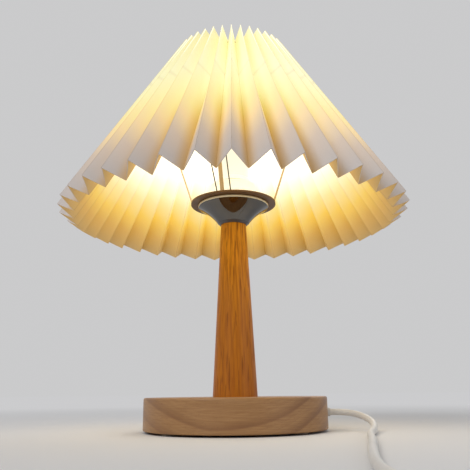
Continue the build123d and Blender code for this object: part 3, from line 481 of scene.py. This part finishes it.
FINISHES = {
    BASE_BOARD: ["base_block"],
    STEM_TIMBER: ["stem"],
    CHROME_PAINTED_DARK: ["cup"],
    PALE_BRASS: ["rim_ring"],
    PLAIN_BRASS: ["terminal_screws", "centre_contact", "bulb_tip", "switch_contacts"],
    NICKEL: ["plug_pins"],
    ZINC: ["cover_screws", "foot_washer", "foot_nut", "cup_nut", "clamp_screws", "switch_screw_pair"],
    SHELL_THREAD: ["screw_shell"],
    ROD_THREAD: ["threaded_rod"],
    DARK_COLLAR: ["stem_collar"],
    BRONZE_PLATE: ["carrier_plate"],
    BRONZE_STRIP: ["carrier_leg_front", "carrier_leg_right", "carrier_leg_back", "carrier_leg_left"],
    BRIGHT_WIRE: ["carrier_ring"],
    STAY_WIRE_PAINTED_SHADE: ["stay_wires"],
    COVER_PAINT: ["base_cover"],
    IVORY_MOULDING_PAINTED_GLOW: ["holder_base", "holder_body", "holder_ring", "bulb_collar"],
    WHITE_MOULDING: ["cord_bush", "cord_clamp", "switch_rocker", "plug_body", "plug_boot"],
    SEAMED_SHELL: ["switch_lower", "switch_upper"],
    IVORY_CERAMIC: ["contact_block"],
    BLACK_GLASS: ["bulb_insulator"],
    SLEEVE_PLASTIC: ["pin_sleeves"],
    LIVE_JACKET: ["live_core"],
    NEUTRAL_JACKET: ["neutral_core"],
    FELT: ["foot_pads"],
    JACKET: ["inner_lead"],
    STRAP: ["cord_tie"],
    OPAL: ["bulb_globe"],
    PHOSPHOR: ["light_source"],
}
for finish, names in FINISHES.items():
    for name in names:
        nodes[name].data.materials.clear()
        nodes[name].data.materials.append(finish)


# Mains cord: one line from the bush through the switch and round the coil to the plug
CORD_RADIUS = 2.5
TABLE = CORD_RADIUS
COIL_MIDDLE = (162.8, -288.0)
COIL_RADIUS = 38.2
COIL_PITCH = 5.5
COIL_TURNS = 6
COIL_LOW = 3.7
COIL_RISE = 5.5
COIL_POINTS = 24  # on each turn
CORD_EXIT = (76.5, 0.0, 14.0)

lead_to_switch = [
    CORD_EXIT, (87.0, 0.0, 14.0), (96.4, -4.3, 12.7), (103.0, -12.2, 10.0), (105.8, -22.2, 6.9),
    (104.6, -33.2, 4.4), (101.0, -46.0, 2.8), (96.2, -62.0, TABLE), (90.2, -82.0, TABLE), (85.0, -108.0, TABLE),
    (79.4, -137.0, TABLE), (72.6, -166.0, TABLE), (66.4, -194.0, TABLE), (60.6, -222.0, TABLE),
    (55.4, -249.0, TABLE), (52.2, -275.0, TABLE), (53.0, -300.0, TABLE), (59.6, -322.0, TABLE),
    (73.0, -339.5, 2.8), (91.0, -348.4, 5.0),
    (103.0, -350.0, SWITCH_MIDDLE), (118.0, -350.0, SWITCH_MIDDLE),
]
switch_to_coil = [
    (162.0, -350.0, SWITCH_MIDDLE), (177.0, -350.0, SWITCH_MIDDLE), (189.6, -346.3, 6.6), (198.6, -338.0, 4.9),
    (203.0, -326.6, 3.9), (202.8, -314.6, COIL_LOW), (201.0, -303.0, COIL_LOW), (201.0, -293.0, COIL_LOW),
]
coil_to_plug = [
    (201.0, -283.0, 9.2), (201.0, -271.0, 9.2), (201.5, -253.0, 7.4), (202.6, -233.0, 4.8),
    (203.6, -211.0, 5.2), (203.6, -193.0, 6.85), (203.6, -183.0, 6.85), (203.6, -158.0, 6.85),
]


def coil_turns():
    """Points round the coil: in on the lower layer, up, and out on the upper one."""
    outside_chord = 1 / (0.75 + 0.25 * cos(2 * pi / COIL_POINTS))
    for step in range(COIL_TURNS * COIL_POINTS + 1):
        turns = step / COIL_POINTS
        from_reversal = abs(turns - COIL_TURNS / 2)
        radius = (COIL_RADIUS - COIL_PITCH * (COIL_TURNS / 2 - from_reversal)) * outside_chord
        climb = min(max((turns - COIL_TURNS / 2) * 2 + 0.5, 0), 1)
        height = COIL_LOW + COIL_RISE * climb ** 2 * (3 - 2 * climb)
        angle = 2 * pi * turns
        yield COIL_MIDDLE[0] + radius * cos(angle), COIL_MIDDLE[1] + radius * sin(angle), height


cord_line = [*lead_to_switch, *switch_to_coil, *coil_turns(), *coil_to_plug]
cord_curve = bpy.data.curves.new("mains_cord", "CURVE")
cord_curve.dimensions = "3D"
cord_curve.bevel_depth = CORD_RADIUS * MM
cord_curve.bevel_resolution = 5
cord_curve.use_fill_caps = True
cord_curve.materials.append(JACKET)
cord_spline = cord_curve.splines.new("NURBS")
cord_spline.points.add(len(cord_line) - 1)
for point, place in zip(cord_spline.points, cord_line):
    point.co = (*(part * MM for part in place), 1)
cord_spline.order_u = 3
cord_spline.use_endpoint_u = True
cord_spline.resolution_u = 6
mains_cord = placed("mains_cord", cord_curve)
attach(mains_cord, "base")
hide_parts("cord_lead", "cord_tail", "cord_coil", "cord_end", "boot_lead")


# Shapes grown by node trees
def shape_tree(name, sizes):
    """Graph of an empty tree with named inputs, and a socket for each input."""
    tree = bpy.data.node_groups.new(name, "GeometryNodeTree")
    tree.interface.new_socket("Shape", in_out="OUTPUT", socket_type="NodeSocketGeometry")
    for label, value in sizes.items():
        kind = {int: "NodeSocketInt", float: "NodeSocketFloat"}.get(type(value), "NodeSocketMaterial")
        tree.interface.new_socket(label, in_out="INPUT", socket_type=kind)
    graph = Graph(tree)
    inputs = tree.nodes.new("NodeGroupInput")
    sockets = {label: Socket(graph, inputs.outputs[label]) for label in sizes}
    return graph, sockets


def end_tree(graph, shape, finish):
    """Real geometry with its material, as the tree's result."""
    real = graph.add("GeometryNodeRealizeInstances", {"Geometry": shape})
    dressed = graph.add("GeometryNodeSetMaterial", {"Geometry": real, "Material": finish})
    result = graph.tree.nodes.new("NodeGroupOutput")
    graph.feed(result.inputs["Shape"], dressed)


def plain_mesh(piece):
    """The piece as its modifiers leave it, with none left on it."""
    bpy.context.view_layer.update()
    evaluated = piece.evaluated_get(bpy.context.evaluated_depsgraph_get())
    shape = bpy.data.meshes.new_from_object(evaluated)
    piece.modifiers.clear()
    piece.data = shape


def grow(name, graph, sizes):
    """Object whose mesh a tree makes from the given sizes."""
    piece = placed(name, bpy.data.meshes.new(name))
    growth = piece.modifiers.new("growth", "NODES")
    growth.node_group = graph.tree
    for item in graph.tree.interface.items_tree:
        if item.in_out == "INPUT":
            growth[item.identifier] = sizes[item.name]
    plain_mesh(piece)
    return piece


def thicken(piece, thickness, inside_slot=0):
    """Gives a sheet a wall inwards, whose inside has the material of a given slot."""
    wall = piece.modifiers.new("wall", "SOLIDIFY")
    wall.thickness = thickness
    wall.offset = -1
    wall.material_offset = inside_slot
    plain_mesh(piece)


def smooth(piece, sharp_above):
    """Smooth shading, with edges kept sharp above an angle in degrees."""
    piece.data.shade_smooth()
    piece.data.set_sharp_from_angle(angle=radians(sharp_above))


# Pleated film shade
SHADE = {
    "Pleats": 39,
    "Strips": 8,  # across each flank
    "Rows": 24,  # up each flank, below the punched holes
    "Foot radius": 0.150,
    "Top radius": 0.0504,
    "Height": 0.1612,
    "Foot level": 0.1804,
    "Pleat depth": 0.0134,
    "Hole foot": 0.9745,  # share of the height
    "Hole top": 0.9835,
    "Sway": 0.35,  # degrees that a fold strays at the rim
    "Stray": 0.0006,  # metres that a fold strays at the rim
    "Bow": 0.0005,  # metres that a flank bellies
    "Seed": 7,
    "Film": FILM_OUTSIDE,
}
FILM_THICKNESS = 0.0005
HOLE_STRIP = 6


def shade_tree():
    """Folded strip: a sheet of strips and rows whose columns run from fold to fold."""
    graph, size = shape_tree("pleated_film", SHADE)
    columns = size["Pleats"] * size["Strips"] * 2
    all_rows = size["Rows"] + 2
    sheet, across, along = graph.sheet(columns, all_rows)
    marked = graph.marked(
        sheet, column=graph.maths("ROUND", across * columns), row=graph.maths("ROUND", along * all_rows)
    )
    column, row = graph.stored("column"), graph.stored("row")
    flank = graph.maths("FLOOR", column / size["Strips"])
    step = column / size["Strips"] - flank
    share = step * step * (3 - 2 * step)
    low_rows = graph.maths("MINIMUM", row / size["Rows"], 1.0) * size["Hole foot"]
    hole_row = graph.maths("MINIMUM", graph.maths("MAXIMUM", row - size["Rows"], 0.0), 1.0)
    top_row = graph.maths("MAXIMUM", row - size["Rows"] - 1, 0.0)
    rise = low_rows + hole_row * (size["Hole top"] - size["Hole foot"]) + top_row * (1 - size["Hole top"])
    slack = 1 - rise
    flare = (size["Foot radius"] - size["Top radius"]) / size["Height"]

    def chance(fold, salt):
        """Random number from -1 to 1 that belongs to one fold."""
        return graph.add(
            "FunctionNodeRandomValue",
            {2: -1.0, 3: 1.0, "ID": fold % (size["Pleats"] * 2), "Seed": size["Seed"] + salt},
            output=1,
            data_type="FLOAT",
        )

    def crease(fold):
        """Point of a fold at this row: even folds stand out, odd ones lie in."""
        depth = (fold % 2) * size["Pleat depth"]
        angle = (fold * 180 / size["Pleats"] + chance(fold, 1) * size["Sway"] * slack) * (pi / 180)
        radius = size["Foot radius"] + (size["Top radius"] - size["Foot radius"]) * rise - depth
        radius = radius + chance(fold, 2) * size["Stray"] * slack
        height = size["Foot level"] + size["Height"] * rise - depth * flare
        return radius * graph.maths("SINE", angle), -1 * radius * graph.maths("COSINE", angle), height

    near = crease(flank)
    far = crease(flank + 1)
    x, y, height = (first + (second - first) * share for first, second in zip(near, far))
    belly = 1 - graph.maths("SINE", share * pi) * chance(flank, 3) * size["Bow"] / size["Foot radius"]
    fold = graph.maths("PINGPONG", flank + share, 1.0)
    folded = graph.add(
        "GeometryNodeSetPosition", {"Geometry": marked, "Position": graph.joined(x * belly, y * belly, height)}
    )
    folded = graph.marked(folded, rise=rise, fold=fold)
    strip = graph.maths("FLOOR", column) % size["Strips"]
    outward_strip = graph.equal(strip, HOLE_STRIP)
    inward_strip = graph.equal(strip, size["Strips"] - 1 - HOLE_STRIP)
    odd = flank % 2
    in_hole_row = graph.equal(graph.maths("FLOOR", row), size["Rows"])
    punched = graph.add(
        "GeometryNodeDeleteGeometry",
        {"Geometry": folded, "Selection": in_hole_row * (outward_strip * (1 - odd) + inward_strip * odd)},
        domain="FACE",
        mode="ALL",
    )
    closed = graph.add("GeometryNodeMergeByDistance", {"Geometry": punched, "Distance": 0.00001})
    end_tree(graph, closed, size["Film"])
    return graph


pleated_film = grow("pleated_film", shade_tree(), SHADE)
pleated_film.data.materials.append(FILM_INSIDE)
thicken(pleated_film, FILM_THICKNESS, inside_slot=1)
smooth(pleated_film, sharp_above=24)
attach(pleated_film, "shade")
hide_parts("pleated_shade")


# Draw thread: two strands twisted round each other, through the punched holes
thread_low, thread_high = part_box("draw_thread")
TWISTED_THREAD = {
    "Ring radius": (thread_high.x - thread_low.x) / 2 - 0.00045,
    "Level": (thread_low.z + thread_high.z) / 2,
    "Strand radius": 0.00023,
    "Twists": 96,
    "Points": 1152,
    "Sides": 6,
    "Cotton": THREAD,
}


def thread_tree():
    graph, size = shape_tree("draw_thread_strands", TWISTED_THREAD)
    strands = graph.add("GeometryNodeJoinGeometry")
    for side in (0.0, pi):
        ring = graph.add(
            "GeometryNodeCurvePrimitiveCircle", {"Resolution": size["Points"], "Radius": size["Ring radius"]}
        )
        turn = graph.add("GeometryNodeInputIndex") / size["Points"] * (2 * pi)
        twist = turn * size["Twists"] + side
        reach = size["Ring radius"] + graph.maths("COSINE", twist) * size["Strand radius"]
        place = graph.joined(
            reach * graph.maths("COSINE", turn),
            reach * graph.maths("SINE", turn),
            size["Level"] + graph.maths("SINE", twist) * size["Strand radius"],
        )
        strand = graph.add("GeometryNodeSetPosition", {"Geometry": ring, "Position": place})
        section = graph.add(
            "GeometryNodeCurvePrimitiveCircle", {"Resolution": size["Sides"], "Radius": size["Strand radius"]}
        )
        tube = graph.add("GeometryNodeCurveToMesh", {"Curve": strand, "Profile Curve": section})
        graph.feed(strands.output.node.inputs[0], tube)
    end_tree(graph, strands, size["Cotton"])
    return graph


twisted_thread = grow("twisted_thread", thread_tree(), TWISTED_THREAD)
twisted_thread.data.shade_smooth()
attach(twisted_thread, "shade")
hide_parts("draw_thread")


# Bulb cap: sheet metal with a rolled right-hand thread
cap_low, cap_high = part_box("bulb_cap")
ROLLED_CAP = {
    "Around": 96,
    "Rows": 72,
    "Radius": (cap_high.x - cap_low.x) / 2,
    "Foot level": cap_low.z,
    "Height": cap_high.z - cap_low.z,
    "Pitch": LAMP_THREAD_PITCH,
    "Thread depth": 0.0009,
    "Run-out": 0.002,  # height over which the thread fades at both ends
    "Bevel": 0.0016,
    "Flange": 0.0019,
    "Plate": CAP_PLATE,
}
CAP_WALL = 0.0004


def cap_tree():
    """Rolled tube: the first row is the flange's inner edge, the others climb from the foot to the collar."""
    graph, size = shape_tree("rolled_cap", ROLLED_CAP)
    all_rows = size["Rows"] + 1
    sheet, turn, along = graph.sheet(size["Around"], all_rows)
    row = graph.maths("ROUND", along * all_rows)
    climb = graph.maths("MAXIMUM", row - 1, 0.0) / size["Rows"] * size["Height"]
    above_bevel = graph.maths("MAXIMUM", climb - size["Bevel"], 0.0)
    from_foot = graph.maths("MINIMUM", above_bevel / size["Run-out"], 1.0)
    from_collar = graph.maths("MINIMUM", (size["Height"] - climb) / size["Run-out"], 1.0)
    crest = graph.maths("COSINE", (climb / size["Pitch"] - turn) * (2 * pi)) * 0.5 + 0.5
    flange = (1 - graph.maths("MINIMUM", row, 1.0)) * size["Flange"]
    radius = size["Radius"] - size["Bevel"] + graph.maths("MINIMUM", climb, size["Bevel"]) - flange
    radius = radius - (1 - crest) * size["Thread depth"] * from_foot * from_collar
    angle = turn * (2 * pi)
    place = graph.joined(
        radius * graph.maths("SINE", angle),
        -1 * radius * graph.maths("COSINE", angle),
        size["Foot level"] + climb,
    )
    rolled = graph.add("GeometryNodeSetPosition", {"Geometry": sheet, "Position": place})
    closed = graph.add("GeometryNodeMergeByDistance", {"Geometry": rolled, "Distance": 0.00001})
    end_tree(graph, closed, size["Plate"])
    return graph


rolled_cap = grow("rolled_cap", cap_tree(), ROLLED_CAP)
thicken(rolled_cap, CAP_WALL)
smooth(rolled_cap, sharp_above=40)
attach(rolled_cap, "bulb")
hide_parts("bulb_cap")


# Stage: pale floor, pale surroundings and soft lamps
STAGE_TONE = (0.60, 0.60, 0.61)
FLOOR_TONE = (0.77, 0.77, 0.78)
FLOOR_REACH = 12.0
FLOOR_LEVEL = -0.0001
FADE_START, FADE_END = 0.35, 1.1  # distances over which the floor passes into the backdrop
floor_mesh = bpy.data.meshes.new("floor")
floor_mesh.from_pydata(
    [(x * FLOOR_REACH, y * FLOOR_REACH, FLOOR_LEVEL) for x, y in ((-1, -1), (1, -1), (1, 1), (-1, 1))],
    [],
    [(0, 1, 2, 3)],
)
floor = placed("floor", floor_mesh)
floor_finish = Finish("floor_paper", roughness=0.9, specular_ior_level=0.0, emission_strength=1.0)
floor_x, floor_y, _ = floor_finish.split(floor_finish.place)
far_off = floor_finish.eased((floor_x * floor_x + floor_y * floor_y) ** 0.5, FADE_START, FADE_END)
floor_finish.surface(
    base_color=floor_finish.blend(far_off, FLOOR_TONE, (0.0, 0.0, 0.0)),
    emission_color=floor_finish.blend(far_off, (0.0, 0.0, 0.0), STAGE_TONE),
)
floor_mesh.materials.append(floor_finish.material)

world = bpy.data.worlds.new("studio")
world.use_nodes = True
bpy.context.scene.world = world
surroundings = Graph(world.node_tree)
seen = surroundings.add("ShaderNodeLightPath")
rays = seen.output.node.outputs
shown = surroundings.maths(
    "MINIMUM",
    Socket(surroundings, rays["Is Camera Ray"])
    + Socket(surroundings, rays["Is Glossy Ray"])
    + Socket(surroundings, rays["Is Transmission Ray"]),
    1.0,
)
WORLD_LIGHT = 0.36
WORLD_SHOWN = 0.60
backdrop = world.node_tree.nodes["Background"]
surroundings.feed(backdrop.inputs["Color"], (0.99, 0.99, 1.0, 1))
surroundings.feed(backdrop.inputs["Strength"], WORLD_LIGHT + shown * (WORLD_SHOWN - WORLD_LIGHT))


def soft_lamp(name, place, aim, size, power):
    """Square area lamp turned to a point."""
    lamp_light = bpy.data.lights.new(name, "AREA")
    lamp_light.size = size
    lamp_light.energy = power
    lamp = placed(name, lamp_light)
    lamp.location = place
    lamp.rotation_euler = (Vector(aim) - Vector(place)).to_track_quat("-Z", "Y").to_euler()


LAMP_AIM = (0.0, 0.0, 0.17)
soft_lamp("key_lamp", (-1.3, -1.5, 1.5), LAMP_AIM, 1.2, 22)
soft_lamp("fill_lamp", (1.7, -1.1, 0.8), LAMP_AIM, 1.4, 7.5)
soft_lamp("back_lamp", (0.8, 1.8, 1.6), LAMP_AIM, 1.2, 10)

bpy.context.scene.view_settings.view_transform = "Standard"
